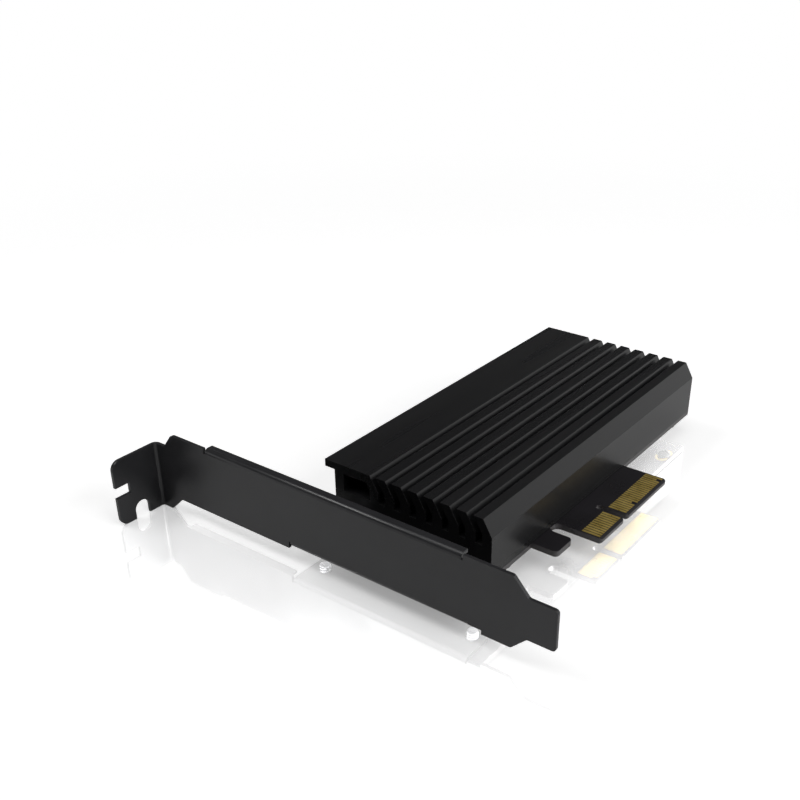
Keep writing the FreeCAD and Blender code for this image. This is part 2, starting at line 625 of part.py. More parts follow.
def make_lands(label, low):
    """Plated rings round the four slots."""
    body = new_body(label, x="slot_place", z=low)
    flat = "((slot_length - slot_width) / 2)"
    first = None
    for step, growth in (("land", "land_margin"), ("slot", "0")):
        half = f"(slot_width / 2 + {growth})"
        rows = (SLOT_LEFT, f"-{SLOT_RIGHT}")
        sketch = outline(body, f"{step}_middle_outline", "XY_Plane", *[
            oblong(f"-{flat}", flat, f"{across} - {half}", f"{across} + {half}") for across in rows])
        rounds = [circles(body, f"{step}_{end}_outline", "XY_Plane", [
            (f"{sign}{flat}", across) for across in rows], half) for end, sign in (("near", "-"), ("far", ""))]
        if first is None:
            first = [pad(body, "land_middle", sketch, "plating")]
            first += [pad(body, "land_round", shape, "plating") for shape in rounds]
        else:
            for shape in [sketch] + rounds:
                pocket(body, "slot_cut", shape, "plating", forwards=True)
    pattern = repeat(body, "lands", [], "X_Axis", SLOT_SPACING, "2")
    pattern.TransformMode = "Whole shape"
    return body


def make_heatsink():
    """The extrusion's section, its leaning grooves, the duct and what is milled into it."""
    body = new_body("heatsink", x="sink_start", z="plating")
    lip_inside = "(board_left + lip_clearance)"
    section = outline(body, "section_outline", "YZ_Plane", [
        ("-sink_right", "0"),
        ("-sink_right", "fin_bend"),
        ("fin_lean - sink_right", "sink_height"),
        ("eave_edge", "sink_height"),
        ("eave_edge", "sink_height - eave_thickness"),
        ("sink_left", "sink_height - eave_thickness"),
        ("sink_left", "lip_slope_top"),
        ("lip_edge", "lip_slope_low"),
        ("lip_edge", "-lip_drop"),
        (lip_inside, "-lip_drop"),
        (lip_inside, "0"),
        ("step_half", "0"),
        ("step_half", "step_height"),
        ("bay_half", "step_height"),
        ("bay_half", "bay_height"),
        ("-bay_half", "bay_height"),
        ("-bay_half", "step_height"),
        ("-step_half", "step_height"),
        ("-step_half", "0"),
    ])
    pad(body, "extrusion", section, SINK_LENGTH)
    slope = "(fin_lean / (sink_height - fin_bend))"
    beyond = "(sink_height + groove_width)"
    drift = f"({slope} * ({beyond} - fin_bend))"
    groove = outline(body, "groove_outline", "YZ_Plane", [
        ("groove_first - groove_width", "groove_floor"),
        ("groove_first", "groove_floor"),
        ("groove_first", "fin_bend"),
        (f"groove_first + {drift}", beyond),
        (f"groove_first - groove_width + {drift}", beyond),
        ("groove_first - groove_width", "fin_bend"),
    ])
    cut = pocket(body, "groove", groove, SINK_LENGTH, forwards=True)
    repeat(body, "grooves", [cut], "Y_Axis", "fin_spacing", "fin_count", backwards=True)
    duct = outline(body, "duct_outline", "YZ_Plane", [
        ("duct_right", "groove_floor"),
        ("duct_left", "groove_floor"),
        ("duct_left", "duct_top"),
        (f"duct_right + {slope} * (duct_top - fin_bend)", "duct_top"),
        ("duct_right", "fin_bend"),
    ])
    pocket(body, "duct", duct, SINK_LENGTH, forwards=True)
    row_start = "(far_row_start - sink_start - cap_width / 2)"
    recess = outline(body, "recess_outline", "XY_Plane", oblong(
        f"{row_start} - recess_margin",
        f"{row_start} + (cap_count - 1) * far_row_spacing + cap_width + recess_margin",
        "-far_row_place - cap_length / 2 - recess_margin", "-step_half"))
    pocket(body, "recess", recess, "cap_height + recess_clearance - plating", forwards=True)
    rows = [(along, across) for along in ("slot_place - sink_start", f"slot_place + {SLOT_SPACING} - sink_start")
            for across in (SLOT_LEFT, f"-{SLOT_RIGHT}")]
    holes = circles(body, "tapped_outline", "XY_Plane", rows, "fine_radius + thread_gap")
    pocket(body, "tapped_holes", holes, "tapped_depth", forwards=True)
    return body


def make_screw(label, size, place, flipped=False):
    """A cross-recessed screw that points down from the plane under its head."""
    body = new_body(label, *place)
    shank = circles(body, "shank_outline", "XY_Plane", [("0", "0")], size["shank"])
    pad(body, "shank", shank, size["length"], backwards=True)
    head = circles(body, "head_outline", "XY_Plane", [("0", "0")], size["head"])
    pad(body, "head", head, size["height"])
    bevel_rim(body, "head_bevel", size["height"], f"0.4 * {size['height']}", size["head"])
    arm = f"(0.55 * {size['head']})"
    half = f"(0.13 * {size['head']})"
    cross = outline(body, "cross_outline", "XY_Plane", [
        (f"-{half}", f"-{arm}"), (half, f"-{arm}"), (half, f"-{half}"), (arm, f"-{half}"), (arm, half),
        (half, half), (half, arm), (f"-{half}", arm), (f"-{half}", half), (f"-{arm}", half),
        (f"-{arm}", f"-{half}"), (f"-{half}", f"-{half}")], height=size["height"])
    pocket(body, "cross", cross, f"0.5 * {size['height']}")
    if flipped:
        body.Placement.Rotation = FreeCAD.Rotation(V(1, 0, 0), 180)
    return body


def make_pairs(body, name, role, pitch):
    """The whole body once more along an axis."""
    pattern = repeat(body, name, [], role, pitch, "2")
    pattern.TransformMode = "Whole shape"
    return body


def make_blocks(label, blocks):
    """Rectangular packages that stand on the drive, each between four expressions."""
    body = new_body(label, x="drive_start", z=DRIVE_TOP)
    for count, (left, length, right, width, height) in enumerate(blocks):
        base = outline(body, f"package_outline_{count}", "XY_Plane", oblong(
            left, f"{left} + {length}", f"-{right}", f"{width} - {right}"))
        pad(body, f"package_{count}", base, height)
    return body


def make_drive_board():
    """The drive's board: half-round notch at one end, keyed edge connector at the other."""
    body = new_body("drive_board", x="drive_start", z="drive_lift")
    half = "(drive_width / 2)"
    edge = "(tongue_edge_width / 2)"
    neck = "(drive_length - tongue_edge_length)"
    blank = outline(body, "drive_outline", "XY_Plane", [
        ("0", f"-{half}"), (neck, f"-{half}"), (neck, f"-{edge}"), ("drive_length", f"-{edge}"),
        ("drive_length", edge), (neck, edge), (neck, half), ("0", half)])
    pad(body, "blank", blank, "drive_gauge")
    notch = circles(body, "screw_notch_outline", "XY_Plane", [("0", "0")], "drive_notch")
    pocket(body, "screw_notch", notch, "drive_gauge", forwards=True)
    key = outline(body, "key_outline", "XY_Plane", oblong(
        "drive_length - drive_key_depth", "drive_length + drive_key_width",
        "-drive_key_place - drive_key_width / 2", "drive_key_width / 2 - drive_key_place"))
    pocket(body, "key", key, "drive_gauge", forwards=True)
    return body


def make_pins(label, low, shift, short_pins):
    """Plated contacts at the drive's edge, in two groups beside the key."""
    body = new_body(label, x=DRIVE_END, z=low)
    near = "(-pin_margin - pin_length)"
    for group, start, count in (("long", f"(pin_first - {shift})", "long_pins"),
                                ("short", f"(-drive_key_place - pin_spacing - pin_spacing * 1.25 - {shift})", short_pins)):
        first = outline(body, f"{group}_pin_outline", "XY_Plane", oblong(
            near, "-pin_margin", f"{start} - pin_width / 2", f"{start} + pin_width / 2"))
        pin = pad(body, f"{group}_pin", first, "pin_plating")
        repeat(body, f"{group}_pins", [pin], "Y_Axis", "pin_spacing", count, backwards=True)
    return body


def make_springs(label, profile, shift, short_pins):
    """Contact springs of the socket: one bent leaf for each drive contact."""
    body = new_body(label, x=SOCKET_FRONT)
    for group, start, count in (("long", f"(pin_first - {shift})", "long_pins"),
                                ("short", f"(-drive_key_place - pin_spacing - pin_spacing * 1.25 - {shift})", short_pins)):
        leaf = outline(body, f"{group}_leaf_outline", "XZ_Plane", profile,
                       height=f"-({start} + spring_width / 2)")
        spring = pad(body, f"{group}_spring", leaf, "spring_width")
        repeat(body, f"{group}_springs", [spring], "Y_Axis", "pin_spacing", count, backwards=True)
    return body


def lower_leaf():
    """A lower spring's side view: a foot on the card, a ramp and a crest under the drive."""
    crest = "(drive_lift - pin_plating - spring_gap)"
    return [
        ("-spring_foot", "0"),
        ("spring_foot", "0"),
        ("spring_crest", f"{crest} - spring_gauge"),
        ("spring_crest + spring_foot", f"{crest} - 3 * spring_gauge"),
        ("spring_crest + spring_foot", f"{crest} - 2 * spring_gauge"),
        ("spring_crest", crest),
        ("spring_foot", "spring_gauge"),
        ("-spring_foot", "spring_gauge"),
    ]


def upper_leaf():
    """An upper spring's side view: a foot behind the socket, a riser and an arm over the drive."""
    crest = f"({DRIVE_TOP} + pin_plating + spring_gap)"
    arm = f"({crest} + 2 * spring_gauge)"
    riser = "(socket_depth + spring_gap)"
    return [
        (riser, "0"),
        (f"{riser} + spring_foot", "0"),
        (f"{riser} + spring_foot", "spring_gauge"),
        (f"{riser} + spring_gauge", "spring_gauge"),
        (f"{riser} + spring_gauge", f"{arm} + spring_gauge"),
        ("spring_crest", f"{arm} + spring_gauge"),
        ("spring_crest", crest),
        ("spring_crest + spring_foot", arm),
        (riser, arm),
    ]


def make_socket():
    """The socket's housing: a block with a mouth, spring cavities and a key rib."""
    body = new_body("socket_housing", x=SOCKET_FRONT)
    foot = outline(body, "socket_outline", "XY_Plane", oblong("0", "socket_depth", "-socket_half", "socket_half"))
    pad(body, "block", foot, "socket_height")
    low = "(drive_lift - mouth_gap)"
    high = f"({DRIVE_TOP} + mouth_gap)"
    half = "(tongue_edge_width / 2 + mouth_gap)"
    inside = "(socket_grip + mouth_gap)"
    mouth = outline(body, "mouth_outline", "YZ_Plane", oblong(f"-{half}", half, low, high))
    pocket(body, "mouth", mouth, inside, forwards=True)
    shoulder = outline(body, "shoulder_outline", "YZ_Plane", oblong("-socket_half", "socket_half", low, high))
    pocket(body, "shoulder", shoulder, "socket_grip - tongue_edge_length + mouth_gap", forwards=True)
    long_end = "(pin_first - (long_pins - 1) * pin_spacing - pin_spacing / 2 - cavity_margin)"
    short_start = "(-drive_key_place - pin_spacing - pin_spacing * 1.25 + cavity_margin)"
    sides = [(long_end, "pin_first + cavity_margin"), ("-pin_first - cavity_margin", short_start)]
    lower = outline(body, "lower_cavity_outline", "YZ_Plane", *[
        oblong(left, right, "-mouth_gap", low) for left, right in sides])
    pocket(body, "lower_cavities", lower, "cavity_depth", forwards=True)
    upper = outline(body, "upper_cavity_outline", "YZ_Plane", *[
        oblong(left, right, high, f"{high} + upper_cavity_rise") for left, right in sides])
    pocket(body, "upper_cavities", upper, "socket_depth", forwards=True)
    rib_half = "(drive_key_width / 2 - mouth_gap)"
    rib = outline(body, "rib_outline", "YZ_Plane", oblong(
        f"-drive_key_place - {rib_half}", f"{rib_half} - drive_key_place", low, high),
        height=f"{inside} - drive_key_depth + 2 * mouth_gap")
    pad(body, "rib", rib, "drive_key_depth - mouth_gap")
    return body


def make_anchors():
    """Solder anchors at the socket's two ends."""
    body = new_body("socket_anchors", x=f"{SOCKET_FRONT} + anchor_place")
    for side, sign in (("left", ""), ("right", "-")):
        angle = [("socket_half", "0"), ("socket_half + anchor_reach", "0"),
                 ("socket_half + anchor_reach", "anchor_gauge"), ("socket_half + anchor_gauge", "anchor_gauge"),
                 ("socket_half + anchor_gauge", "anchor_height"), ("socket_half", "anchor_height")]
        shape = outline(body, f"{side}_anchor_outline", "YZ_Plane",
                        [(f"{sign}({across})", up) for across, up in angle])
        pad(body, f"{side}_anchor", shape, "anchor_length")
    return body


def make_capacitor_row(body, group, start, across, length, width, height, end, pitch, count, caps):
    """A row of chip capacitors along X: the ceramic, or the two caps at its ends."""
    if caps:
        ends = [(f"({across} - {length} / 2)", f"({across} - {length} / 2 + {end})"),
                (f"({across} + {length} / 2 - {end})", f"({across} + {length} / 2)")]
    else:
        ends = [(f"({across} - {length} / 2 + {end})", f"({across} + {length} / 2 - {end})")]
    base = outline(body, f"{group}_outline", "XY_Plane", *[
        oblong(f"{start} - {width} / 2", f"{start} + {width} / 2", low, high) for low, high in ends])
    first = pad(body, f"{group}_first", base, height)
    repeat(body, f"{group}_row", [first], "X_Axis", pitch, count)


def make_capacitors(label, caps):
    """Two rows of coupling capacitors beside the edge connector."""
    body = new_body(label)
    grow = "0" if caps else "cap_proud"
    for group, start, across, pitch in (
            ("inner", "near_row_start", "-near_row_place", "near_row_spacing"),
            ("outer", "far_row_start", "-far_row_place", "far_row_spacing")):
        make_capacitor_row(body, group, start, across, "cap_length", f"(cap_width - 2 * {grow})",
                           f"cap_height - {grow}", "cap_end", pitch, "cap_count", caps)
    return body


def make_small_capacitors(label, caps):
    """A row of small capacitors along the drive's right edge."""
    body = new_body(label, x="drive_start", z=DRIVE_TOP)
    grow = "0" if caps else "cap_proud"
    make_capacitor_row(body, "edge", "chip_start", "-chip_place", "chip_length", f"(chip_width - 2 * {grow})",
                       f"chip_width - {grow}", "chip_cap", "chip_spacing", "chip_count", caps)
    return body


def make_standoff():
    """The drive's standoff: a stub in the card, a seat and a pilot in the drive's notch."""
    body = new_body("drive_standoff", x="drive_start")
    steps = [("stub", "standoff_stub", "standoff_stub_length", True),
             ("seat", "standoff_radius", "drive_lift", False),
             ("pilot", "standoff_pilot", DRIVE_TOP, False)]
    for name, radius, length, down in steps:
        ring = circles(body, f"{name}_outline", "XY_Plane", [("0", "0")], radius)
        pad(body, name, ring, length, backwards=down)
    bore = circles(body, "bore_outline", "XY_Plane", [("0", "0")], "fine_radius + thread_gap",
                   height=DRIVE_TOP)
    pocket(body, "bore", bore, f"{DRIVE_TOP} + standoff_stub_length")
    return body


FINE = {"shank": "fine_radius", "length": "fine_length", "head": "fine_head_radius", "height": "fine_head_height"}
COARSE = {"shank": "coarse_radius", "length": "coarse_length", "head": "coarse_head_radius",
          "height": "coarse_head_height"}
DRIVE_SCREW = {"shank": "fine_radius", "length": "drive_screw_length", "head": "drive_screw_head",
               "height": "drive_screw_head_height"}

bracket_screws = make_screw("bracket_screws", COARSE, ("flange_screw_place", "-right_screw", "0"))
make_pairs(bracket_screws, "second_screw", "Y_Axis", "left_screw + right_screw")
heatsink_screws = make_screw(
    "heatsink_screws", FINE, ("slot_place", SLOT_LEFT, "-board_thickness - plating"), flipped=True)
make_pairs(heatsink_screws, "far_screw", "X_Axis", SLOT_SPACING)
make_pairs(heatsink_screws, "right_screws", "Y_Axis", f"{SLOT_LEFT} + {SLOT_RIGHT}")

pieces = [
    make_bracket(),
    bracket_screws,
    make_board(),
    make_edge_contacts("edge_contacts_component_side", "plating", "0", [(KEY_END, "5"), (KEY_END, "19")]),
    make_edge_contacts("edge_contacts_solder_side", "plating", "-board_thickness - plating",
                       [("finger_start", "0")]),
    make_lands("slot_lands_component_side", "0"),
    make_lands("slot_lands_solder_side", "-board_thickness - plating"),
    box("heat_spreading_field", (f"{SOLDER_FEET} - field_margin - field_start", "field_width", "plating"),
        ("field_start", "-field_width / 2", "0")),
    make_socket(),
    make_springs("socket_contacts_lower", lower_leaf(), "pin_spacing / 2", "lower_short_pins"),
    make_springs("socket_contacts_upper", upper_leaf(), "0", "upper_short_pins"),
    make_anchors(),
    make_capacitors("capacitor_bodies", False),
    make_capacitors("capacitor_end_caps", True),
    make_standoff(),
    make_drive_board(),
    make_pins("drive_contacts_upper", DRIVE_TOP, "0", "upper_short_pins"),
    make_pins("drive_contacts_lower", "drive_lift - pin_plating", "pin_spacing / 2", "lower_short_pins"),
    make_blocks("drive_memory_packages", [
        ("package_start", "package_length", "package_right", "package_width", "package_height"),
        ("far_package_start", "drive_length - far_package_margin - far_package_start",
         "package_right", "package_width", "package_height")]),
    make_blocks("drive_controller", [
        ("controller_start", "controller_length", "controller_right", "controller_width", "controller_height")]),
    make_blocks("drive_buffer_memory", [
        ("buffer_start", "buffer_length", "buffer_right", "buffer_width", "buffer_height")]),
    make_blocks("drive_chokes", [
        (f"(choke_start + {step} * choke_spacing)", "choke_side", "choke_place", "choke_side", "choke_height")
        for step in range(3)]),
    make_small_capacitors("drive_capacitor_bodies", False),
    make_small_capacitors("drive_capacitor_end_caps", True),
    make_screw("drive_screw", DRIVE_SCREW, ("drive_start", "0", DRIVE_TOP)),
    box("thermal_pad_lower",
        (f"{SOLDER_FEET} - lower_pad_margin - lower_pad_start", "pad_width", "drive_lift - plating"),
        ("lower_pad_start", "-pad_width / 2", "plating")),
    box("thermal_pad_upper",
        (f"{SOCKET_FRONT} + upper_pad_lap - upper_pad_start", "pad_width",
         f"{CEILING} - {DRIVE_TOP} - package_height"),
        ("upper_pad_start", "-pad_width / 2", f"{DRIVE_TOP} + package_height")),
    make_heatsink(),
    heatsink_screws,
]
doc.recompute()

for thing in doc.Objects:
    if "Invalid" in thing.State or "Error" in thing.State:
        raise RuntimeError(f"{thing.Name} failed: {thing.State}")
os.makedirs("parts", exist_ok=True)
for piece in pieces:
    if piece.Shape.isNull() or not piece.Shape.isValid():
        raise RuntimeError(f"{piece.Label} has no valid shape")
    piece.Shape.exportStep(f"parts/{piece.Label}.step")
    bounds = piece.Shape.BoundBox
    print(f"{piece.Label}: {len(piece.Shape.Solids)} solids, {piece.Shape.Volume:.2f} mm3,",
          f"X {bounds.XMin:.2f}..{bounds.XMax:.2f} Y {bounds.YMin:.2f}..{bounds.YMax:.2f}",
          f"Z {bounds.ZMin:.2f}..{bounds.ZMax:.2f}")
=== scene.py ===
import json

import bmesh
import bpy
import numpy as np
from mathutils import Matrix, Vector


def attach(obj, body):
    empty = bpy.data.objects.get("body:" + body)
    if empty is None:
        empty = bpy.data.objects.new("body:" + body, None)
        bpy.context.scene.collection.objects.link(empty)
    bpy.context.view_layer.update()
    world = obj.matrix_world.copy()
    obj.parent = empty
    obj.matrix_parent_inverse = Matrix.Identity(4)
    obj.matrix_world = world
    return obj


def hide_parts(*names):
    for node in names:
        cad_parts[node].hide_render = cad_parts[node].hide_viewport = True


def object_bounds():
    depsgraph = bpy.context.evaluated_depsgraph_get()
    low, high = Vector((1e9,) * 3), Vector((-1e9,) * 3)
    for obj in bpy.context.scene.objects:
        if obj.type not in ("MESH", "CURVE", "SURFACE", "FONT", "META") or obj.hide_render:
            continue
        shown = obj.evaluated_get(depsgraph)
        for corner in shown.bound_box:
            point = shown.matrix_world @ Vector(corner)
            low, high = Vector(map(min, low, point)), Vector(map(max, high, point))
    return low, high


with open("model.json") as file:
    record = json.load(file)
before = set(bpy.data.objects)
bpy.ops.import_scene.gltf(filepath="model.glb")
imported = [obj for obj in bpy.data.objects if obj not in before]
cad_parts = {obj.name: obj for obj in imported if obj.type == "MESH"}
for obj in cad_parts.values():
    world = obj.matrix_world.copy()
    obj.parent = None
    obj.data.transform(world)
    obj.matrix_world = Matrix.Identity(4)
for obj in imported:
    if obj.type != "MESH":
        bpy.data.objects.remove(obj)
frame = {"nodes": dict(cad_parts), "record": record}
cad_box = [list(corner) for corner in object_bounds()]
MM = 0.001


# --- Finishes ---------------------------------------------------------------------------------------------------

def linear(text, alpha=1.0):
    """An sRGB hex colour as linear red, green, blue and alpha."""
    parts = np.array([int(text[k:k + 2], 16) for k in (1, 3, 5)]) / 255
    parts = np.where(parts > 0.04045, ((parts + 0.055) / 1.055) ** 2.4, parts / 12.92)
    return (*parts.tolist(), alpha)


def per_mm(millimetres):
    """The texture scale whose pattern repeats once in that many millimetres."""
    return 1.0 / (millimetres * MM)


def add(tree, kind, inputs=None, **settings):
    """Adds one shader node: settings are its own properties, inputs its sockets, each a value or a socket to link."""
    made = tree.nodes.new("ShaderNode" + kind)
    for name, value in settings.items():
        setattr(made, name, value)
    for socket, value in (inputs or {}).items():
        if isinstance(value, bpy.types.NodeSocket):
            tree.links.new(value, made.inputs[socket])
        else:
            made.inputs[socket].default_value = value
    return made


def finish(name, dark, light, patch, rough, grain, relief, stretch=(1, 1, 1), **sockets):
    """A finish that drifts between two colours and two roughnesses in patches, with a fine grain standing in relief.

    patch and grain are in millimetres, relief is the grain's height in millimetres, and stretch thins the pattern
    out along an axis. Values that are the same all over go straight to the shader's sockets.
    """
    made = bpy.data.materials.new(name)
    made.use_nodes = True
    tree = made.node_tree
    tree.nodes.clear()
    place = add(tree, "TexCoord").outputs["Object"]
    place = add(tree, "Mapping", {"Vector": place, "Scale": stretch}, name="place").outputs["Vector"]
    drift = add(tree, "TexNoise", {"Vector": place, "Scale": per_mm(patch), "Detail": 3.0}).outputs["Fac"]
    drift = add(tree, "MapRange", {"Value": drift, "From Min": 0.3, "From Max": 0.7}).outputs["Result"]
    speck = add(tree, "TexNoise", {"Vector": place, "Scale": per_mm(grain), "Detail": 2.0}).outputs["Fac"]
    colour = add(tree, "Mix", {0: drift, 6: linear(dark), 7: linear(light)}, data_type="RGBA", name="colour")
    shine = add(tree, "MapRange", {"Value": drift, "To Min": rough[0], "To Max": rough[1]}).outputs["Result"]
    bump = add(tree, "Bump", {"Height": speck, "Distance": relief * MM, "Strength": 1.0})
    shader = add(tree, "BsdfPrincipled", {"Base Color": colour.outputs[2], "Roughness": shine,
                                          "Normal": bump.outputs["Normal"], **sockets}, name="shader")
    add(tree, "OutputMaterial", {"Surface": shader.outputs["BSDF"]})
    return made


def routed_edge(board, dark, light, cloth=0.2):
    """A board's routed edges: where a face stands upright the mask gives way to bare laminate.

    The laminate's two tones follow a sine of the height, one wave for each layer of glass cloth, which is cloth
    millimetres thick. The wave texture runs through a turn in pi / 10 of its own units.
    """
    tree = board.node_tree
    place, colour, shader = (tree.nodes[name] for name in ("place", "colour", "shader"))
    facing = add(tree, "SeparateXYZ", {"Vector": add(tree, "NewGeometry").outputs["True Normal"]}).outputs["Z"]
    facing = add(tree, "Math", {0: facing}, operation="ABSOLUTE").outputs[0]
    bare = add(tree, "MapRange", {"Value": facing, "From Min": 0.5, "From Max": 0.3}).outputs["Result"]
    layers = add(tree, "TexWave", {"Vector": place.outputs["Vector"], "Scale": np.pi / 10 * per_mm(cloth),
                                   "Distortion": 1.5, "Detail Scale": 2.0}, bands_direction="Z").outputs["Fac"]
    laminate = add(tree, "Mix", {0: layers, 6: linear(dark), 7: linear(light)}, data_type="RGBA").outputs[2]
    both = add(tree, "Mix", {0: bare, 6: colour.outputs[2], 7: laminate}, data_type="RGBA").outputs[2]
    tree.links.new(both, shader.inputs["Base Color"])


# Polyester powder coat, sprayed and baked on folded steel: satin black with a fine orange peel.
powder_coat = finish("powder_coated_steel", "#1c1c1e", "#222224", 14.0, (0.28, 0.36), 0.55, 0.0045,
                     **{"Specular IOR Level": 0.38})

# Black anodised aluminium, extruded: deep satin black with faint draw lines along the extrusion.
anodised = finish("black_anodised_aluminium", "#101011", "#161617", 9.0, (0.24, 0.32), 0.22, 0.0009,
                  stretch=(0.06, 1, 1), **{"Specular IOR Level": 0.24})

# Black solder mask, curtain coated over glass cloth: a near-black gloss with the weave just telegraphing through.
solder_mask = finish("black_solder_mask", "#110f12", "#171519", 11.0, (0.26, 0.36), 0.6, 0.004)
routed_edge(solder_mask, "#2c2a2c", "#3f3c3d")

# Electroless nickel and gold over copper: a thin soft yellow plating with fine wipe marks.
plated_copper = finish("gold_plated_copper", "#a48d47", "#c2aa62", 3.5, (0.26, 0.36), 0.3, 0.0012, Metallic=0.6)

# The same plating on a wide bare field, which dulls and stains as it is handled.
dull_field = finish("dull_plated_field", "#5c4a26", "#7d6a38", 6.0, (0.42, 0.6), 0.35, 0.004, Metallic=0.8)

# Glass-filled nylon, moulded: black and finely matt.
socket_plastic = finish("moulded_glass_filled_nylon", "#141415", "#1d1d1e", 3.0, (0.5, 0.62), 0.25, 0.006)

# Phosphor bronze spring strip, stamped and gold flashed: bright and warm.
spring_metal = finish("gold_flashed_spring_bronze", "#b8a468", "#cfbd85", 1.5, (0.22, 0.32), 0.2, 0.001,
                      Metallic=1.0)

# Tinned steel strip, dipped: pale and a little milky.
anchor_tin = finish("dipped_tin", "#a8a8a4", "#c2c2be", 0.8, (0.3, 0.42), 0.25, 0.003, Metallic=1.0)

# Barium titanate, fired: a tan ceramic with a dry sheen.
capacitor_ceramic = finish("fired_titanate_ceramic", "#7f6c50", "#97835f", 0.7, (0.4, 0.52), 0.15, 0.002)

# Plated tin ends, reflowed with solder: bright, with soft ripples.
reflowed_tin = finish("reflowed_tin", "#bcbcb8", "#d4d4d0", 0.6, (0.2, 0.3), 0.3, 0.004, Metallic=1.0)

# Brass, turned and tin flashed: a warm pale metal with turning marks.
turned_brass = finish("turned_brass", "#a08848", "#c0a868", 1.2, (0.24, 0.34), 0.15, 0.002, Metallic=1.0)

# Zinc-plated steel, barrel plated: cool, bright and slightly cloudy.
bright_zinc = finish("bright_zinc_plate", "#9c9da0", "#b9babd", 1.4, (0.22, 0.34), 0.2, 0.002, Metallic=1.0)

# Black zinc on steel, barrel plated: dark with a dull glint on the edges.
black_zinc = finish("black_zinc_plate", "#242425", "#333334", 1.4, (0.34, 0.46), 0.2, 0.002, Metallic=0.6)

# Green solder mask over glass cloth: clear, saturated and glossy.
green_mask = finish("green_solder_mask", "#0b5a3c", "#117a53", 5.0, (0.2, 0.28), 0.6, 0.004)

# Moulded epoxy packages, released from a blasted mould: dead black with a fine even tooth.
package_epoxy = finish("blasted_mould_epoxy", "#101011", "#191919", 3.0, (0.52, 0.64), 0.12, 0.006)

# Pressed iron powder: dark grey, granular, dull.
pressed_ferrite = finish("pressed_iron_powder", "#31302e", "#454340", 0.5, (0.55, 0.7), 0.12, 0.012)

# Filled silicone pad, knife coated: soft grey and dusty, quite without gloss.
filled_silicone = finish("filled_silicone_pad", "#848481", "#999996", 3.5, (0.75, 0.88), 0.25, 0.02)

FINISHES = {
    "bracket_powder_coat": powder_coat,
    "black_anodised_aluminium": anodised,
    "solder_mask": solder_mask,
    "plated_copper": plated_copper,
    "bare_copper_field": dull_field,
    "socket_plastic": socket_plastic,
    "spring_metal": spring_metal,
    "solder_anchor_tin": anchor_tin,
    "capacitor_ceramic": capacitor_ceramic,
    "tinned_terminal": reflowed_tin,
    "standoff_brass": turned_brass,
    "zinc_screw": bright_zinc,
    "black_screw": black_zinc,
    "drive_solder_mask": green_mask,
    "package_epoxy": package_epoxy,
    "choke_ferrite": pressed_ferrite,
    "thermal_pad_silicone": filled_silicone,
}


# --- The solids of the part: their finishes and their eased edges -----------------------------------------------

# How far the sharp edges of each node are eased, in millimetres: dressed, tumbled, moulded or routed.
EASED = {
    "bracket": 0.12, "heatsink": 0.16, "adapter_board": 0.07, "drive_board": 0.05, "socket_housing": 0.08,
    "drive_memory_packages": 0.08, "drive_controller": 0.08, "drive_buffer_memory": 0.08, "drive_chokes": 0.1,
    "capacitor_bodies": 0.04, "capacitor_end_caps": 0.06, "drive_capacitor_bodies": 0.02,
    "drive_capacitor_end_caps": 0.03, "drive_standoff": 0.08, "socket_anchors": 0.04,
}


def ease(node, width):
    """Merges the loose triangles, clears their flat seams, then rounds every edge sharper than 35 degrees inwards."""
    node.modifiers.new("joined", "WELD").merge_threshold = 0.001 * MM
    flats = node.modifiers.new("flats", "DECIMATE")
    flats.decimate_type = "DISSOLVE"
    flats.angle_limit = np.radians(0.5)
    rounding = node.modifiers.new("eased", "BEVEL")
    rounding.width = width * MM
    rounding.segments = 2
    rounding.limit_method = "ANGLE"
    rounding.angle_limit = np.radians(35)
    rounding.use_clamp_overlap = True
    rounding.harden_normals = False


for part in frame["record"]["subparts"]:
    piece = frame["nodes"][part["node"]]
    for held in piece.material_slots:
        held.material = FINISHES[part["material_slot"]]
    if part["node"] in EASED:
        ease(piece, EASED[part["node"]])


# --- Pieces made here: screws, thermal pads and solder, in millimetres in the part's frame -----------------------

def shells(name, grids, slot, replaced=(), crease=40):
    """One piece from closed skins, each a grid of rings by points; the points go round and the end rings get lids.

    grids has the shape skins, rings, points, 3 in millimetres. Every skin's faces are turned outwards, and edges
    sharper than crease degrees stay sharp.
    """
    grids = np.asarray(grids, float) * MM
    skins, rings, points, _ = grids.shape
    index = np.arange(skins * rings * points).reshape(skins, rings, points)
    after = np.roll(index, -1, axis=2)
    sides = np.stack([index[:, :-1], index[:, 1:], after[:, 1:], after[:, :-1]], axis=-1).reshape(-1, 4)
    lids = np.concatenate([index[:, 0], index[:, -1, ::-1]])
    mesh = bpy.data.meshes.new(name)
    mesh.from_pydata(grids.reshape(-1, 3).tolist(), [], sides.tolist() + lids.tolist())
    turned = bmesh.new()
    turned.from_mesh(mesh)
    bmesh.ops.recalc_face_normals(turned, faces=turned.faces)
    turned.to_mesh(mesh)
    turned.free()
    mesh.shade_smooth()
    mesh.set_sharp_from_angle(angle=np.radians(crease))
    mesh.materials.append(FINISHES[slot])
    piece = bpy.data.objects.new(name, mesh)
    bpy.context.scene.collection.objects.link(piece)
    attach(piece, "root")
    if replaced:
        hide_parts(*replaced)
    return piece


